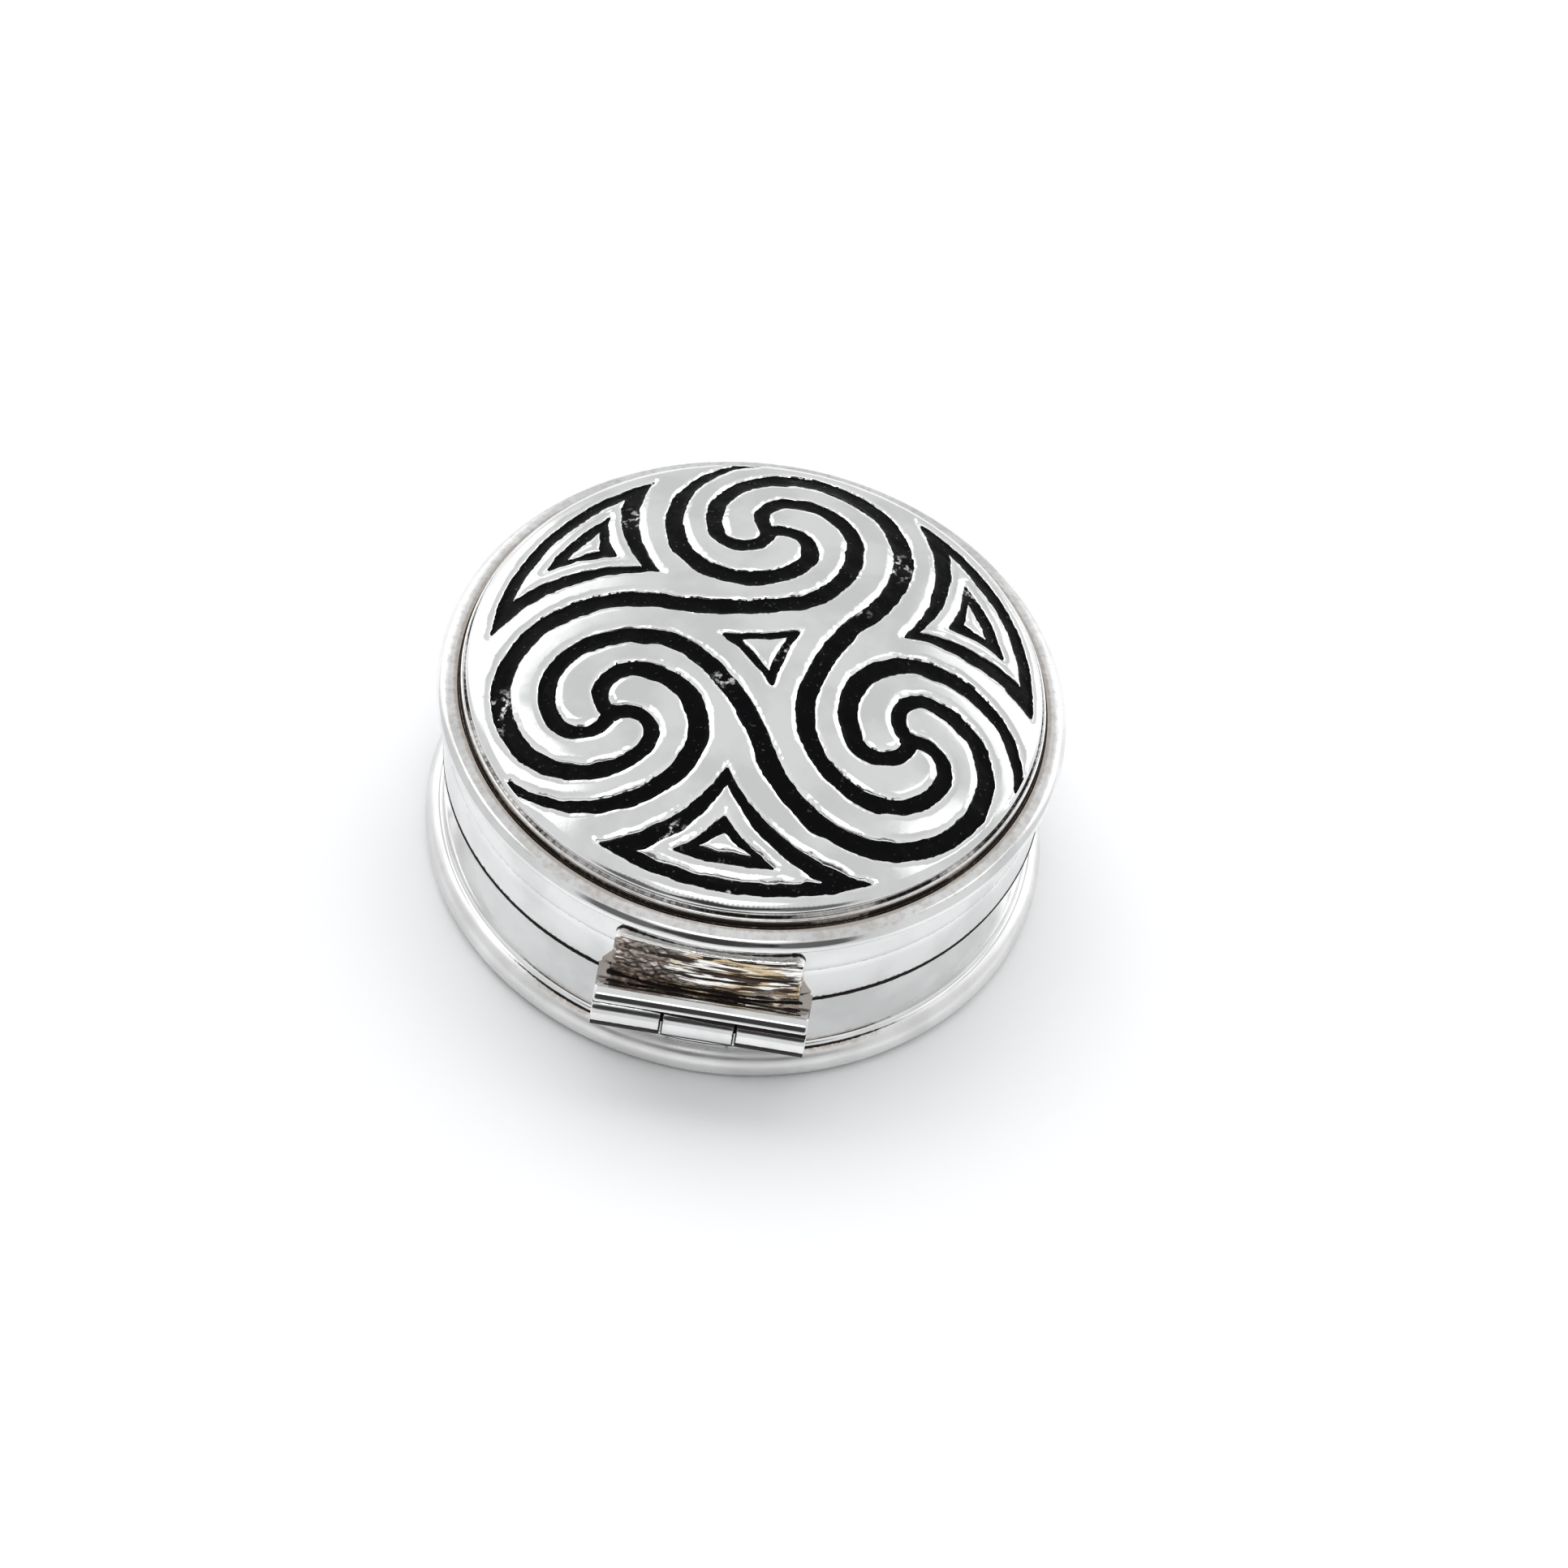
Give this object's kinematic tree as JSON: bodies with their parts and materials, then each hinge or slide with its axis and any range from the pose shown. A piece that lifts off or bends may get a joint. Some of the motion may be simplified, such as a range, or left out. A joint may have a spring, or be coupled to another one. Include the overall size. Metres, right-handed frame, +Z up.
{
  "type": "pill box",
  "caption": "Round hinged pill box with a rolled foot, an inner bezel and a domed lid set with a spiral disc in black enamel.",
  "frame": {"origin": "centre of the flat underside", "axes": "+Z up, towards the dome; +Y towards the hinge, so the box opens at -Y"},
  "size_m": [0.032, 0.0334, 0.0152],
  "materials": {
    "silver": "polished silver",
    "inner_silver": "softly polished silver",
    "worn_silver": "tarnished silver with solder stains",
    "enamel": "glossy opaque black enamel"
  },
  "bodies": {
    "base": {"base_floor": "inner_silver", "foot_ring": "silver", "base_band": "silver", "base_bezel": "inner_silver", "hinge_bearer": "silver", "hinge_knuckle_left": "silver", "hinge_knuckle_right": "silver", "hinge_pin": "inner_silver"},
    "lid": {"lid_band": "silver", "lid_rim": "silver", "lid_liner": "inner_silver", "spiral_disc": "silver", "enamel_spirals": "enamel", "enamel_corner_a": "enamel", "enamel_corner_b": "enamel", "enamel_corner_c": "enamel", "enamel_tip_a": "enamel", "enamel_tip_b": "enamel", "enamel_tip_c": "enamel", "enamel_centre": "enamel", "hinge_leaf": "worn_silver", "hinge_bar": "silver", "hinge_knuckle_mid": "silver"}
  },
  "joints": [
    {"name": "lid_hinge", "type": "hinge", "parent": "base", "child": "lid", "pos_m": [0, 0.01645, 0.0055], "axis": [-1, 0, 0], "range_deg": [0, 110]}
  ]
}
